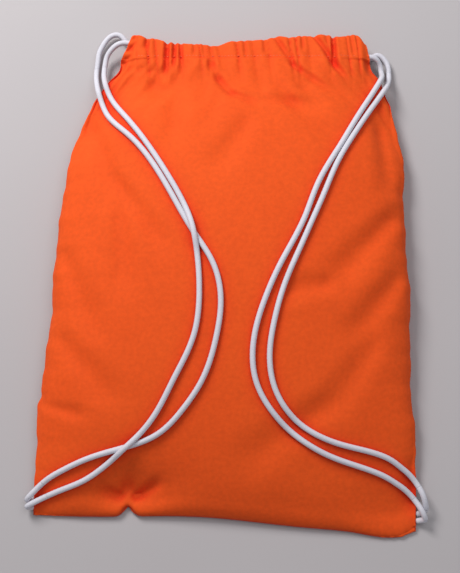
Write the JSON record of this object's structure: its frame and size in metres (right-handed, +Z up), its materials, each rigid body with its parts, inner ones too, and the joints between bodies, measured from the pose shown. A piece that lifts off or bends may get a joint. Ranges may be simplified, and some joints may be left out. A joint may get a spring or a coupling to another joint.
{
  "type": "drawstring rope storage bag",
  "caption": "Flat drawstring bag of woven cloth with a gathered hem at the mouth and round cords that run through the hem and down to the bottom corners as straps.",
  "frame": {"origin": "middle of the flat patch of the back panel that the bag rests on", "axes": "+X across the bag, +Y along it from the bottom edge to the mouth, +Z up through the front panel"},
  "size_m": [0.373, 0.4857, 0.0681],
  "materials": {
    "cloth": "matte",
    "cord": "matte",
    "thread": "satin"
  },
  "bodies": {
    "back": {"back_panel": "cloth", "back_hem_casing": "cloth", "left_seam_allowance": "cloth", "right_seam_allowance": "cloth", "left_seam_stitching": "thread", "right_seam_stitching": "thread", "bottom_seam": "cloth", "bottom_seam_stitching": "thread", "back_hem_stitching": "thread", "left_slit_bartack": "thread", "right_slit_bartack": "thread", "left_cord_back_run": "cord", "right_cord_back_run": "cord", "left_cord_tails": "cord", "right_cord_tails": "cord"},
    "front": {"front_panel": "cloth", "front_hem_casing": "cloth", "front_hem_stitching": "thread", "left_cord_front_run": "cord", "right_cord_front_run": "cord", "left_cord_bight": "cord", "right_cord_bight": "cord", "left_front_exit": "cord", "left_back_exit": "cord", "right_front_exit": "cord", "right_back_exit": "cord"},
    "left_strap": {"left_outer_strand": "cord", "left_inner_strand": "cord"},
    "right_strap": {"right_outer_strand": "cord", "right_inner_strand": "cord"}
  },
  "joints": [
    {"name": "mouth_open", "type": "hinge", "parent": "back", "child": "front", "pos_m": [0, -0.2223, 0.004], "axis": [0.9988, -0.0499, 0], "range_deg": [0, 10]},
    {"name": "left_strap_swing", "type": "hinge", "parent": "front", "child": "left_strap", "pos_m": [-0.1845, -0.207, 0.0034], "axis": [-0.1396, -0.9902, -0.0083], "range_deg": [0, 120]},
    {"name": "right_strap_swing", "type": "hinge", "parent": "front", "child": "right_strap", "pos_m": [0.1845, -0.216, 0.0034], "axis": [-0.0582, 0.9983, 0.0083], "range_deg": [0, 120]}
  ]
}
